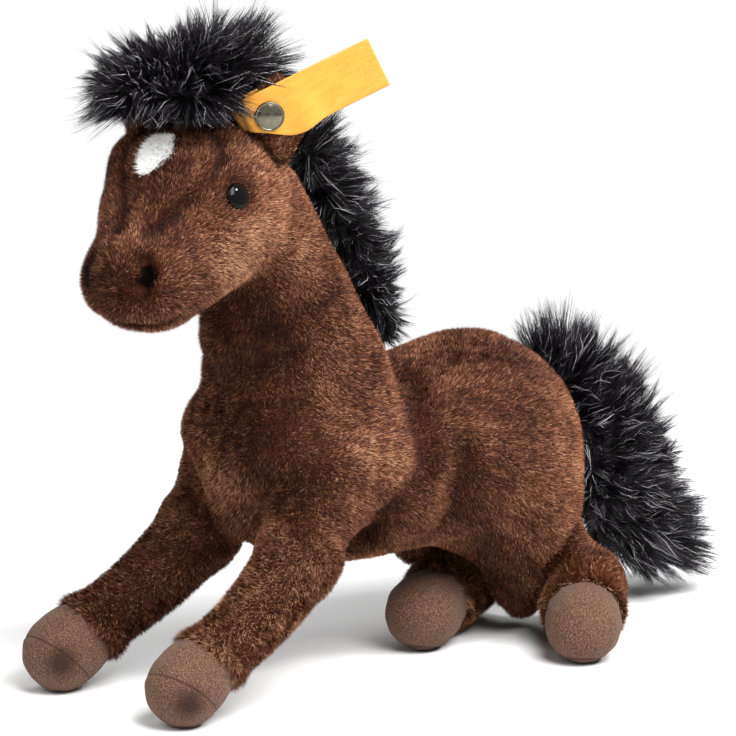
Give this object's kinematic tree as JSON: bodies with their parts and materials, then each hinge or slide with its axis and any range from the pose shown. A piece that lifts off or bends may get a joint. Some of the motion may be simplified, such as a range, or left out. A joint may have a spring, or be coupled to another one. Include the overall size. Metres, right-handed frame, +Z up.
{
  "type": "plush foal",
  "caption": "Floppy plush foal lying with its head up, legs stretched forward, long-pile mane, forelock and tail, and a blank ribbon buttoned to one ear.",
  "frame": {"origin": "middle of the small flat that the rump sits on, at floor height", "axes": "+X to the foal's left, -Y ahead of it, +Z up"},
  "size_m": [0.111, 0.2756, 0.2239],
  "materials": {
    "plush": "matte",
    "long_pile": "satin",
    "hoof_velour": "matte",
    "ear_velour": "matte",
    "white_pile": "matte",
    "filling": "matte",
    "eye": "gloss",
    "washer_plastic": "satin",
    "button_metal": "polished",
    "ribbon": "satin"
  },
  "bodies": {
    "body": {"torso_skin": "plush", "torso_filling": "filling", "neck_skin": "plush", "neck_filling": "filling", "head_skin": "plush", "head_filling": "filling", "mane": "long_pile", "forelock": "long_pile", "star_patch": "white_pile", "left_eye": "eye", "right_eye": "eye", "left_eye_washer": "washer_plastic", "right_eye_washer": "washer_plastic"},
    "front_left_leg": {"front_left_leg_skin": "plush", "front_left_hoof": "hoof_velour", "front_left_leg_filling": "filling"},
    "front_right_leg": {"front_right_leg_skin": "plush", "front_right_hoof": "hoof_velour", "front_right_leg_filling": "filling"},
    "hind_left_leg": {"hind_left_leg_skin": "plush", "hind_left_hoof": "hoof_velour", "hind_left_leg_filling": "filling"},
    "hind_right_leg": {"hind_right_leg_skin": "plush", "hind_right_hoof": "hoof_velour", "hind_right_leg_filling": "filling"},
    "tail": {"tail": "long_pile"},
    "left_ear": {"left_ear_outer": "plush", "left_ear_lining": "ear_velour", "ear_ribbon": "ribbon", "ear_button": "button_metal", "ear_button_washer": "button_metal"},
    "right_ear": {"right_ear_outer": "plush", "right_ear_lining": "ear_velour"}
  },
  "joints": [
    {"name": "front_left_leg_swing", "type": "hinge", "parent": "body", "child": "front_left_leg", "pos_m": [0.025, -0.118, 0.048], "axis": [0.9998, -0.021, 0], "range_deg": [-25, 55]},
    {"name": "front_right_leg_swing", "type": "hinge", "parent": "body", "child": "front_right_leg", "pos_m": [-0.025, -0.118, 0.048], "axis": [0.9766, -0.2149, 0], "range_deg": [-25, 55]},
    {"name": "hind_left_leg_swing", "type": "hinge", "parent": "body", "child": "hind_left_leg", "pos_m": [0.0215, 0.011, 0.0151], "axis": [0.6781, 0.735, 0], "range_deg": [-4, 50]},
    {"name": "hind_right_leg_swing", "type": "hinge", "parent": "body", "child": "hind_right_leg", "pos_m": [-0.0175, -0.0095, 0.0151], "axis": [0.8646, 0.5025, 0], "range_deg": [-4, 50]},
    {"name": "tail_lift", "type": "hinge", "parent": "body", "child": "tail", "pos_m": [0, 0, 0.0945], "axis": [1, 0, 0], "range_deg": [0, 40]},
    {"name": "left_ear_tip", "type": "hinge", "parent": "body", "child": "left_ear", "pos_m": [0.02472, -0.12566, 0.18191], "axis": [0.5446, 0.8387, 0], "range_deg": [-10, 10]},
    {"name": "right_ear_tip", "type": "hinge", "parent": "body", "child": "right_ear", "pos_m": [-0.02271, -0.14484, 0.1819], "axis": [0.9744, -0.225, 0], "range_deg": [-10, 10]}
  ]
}
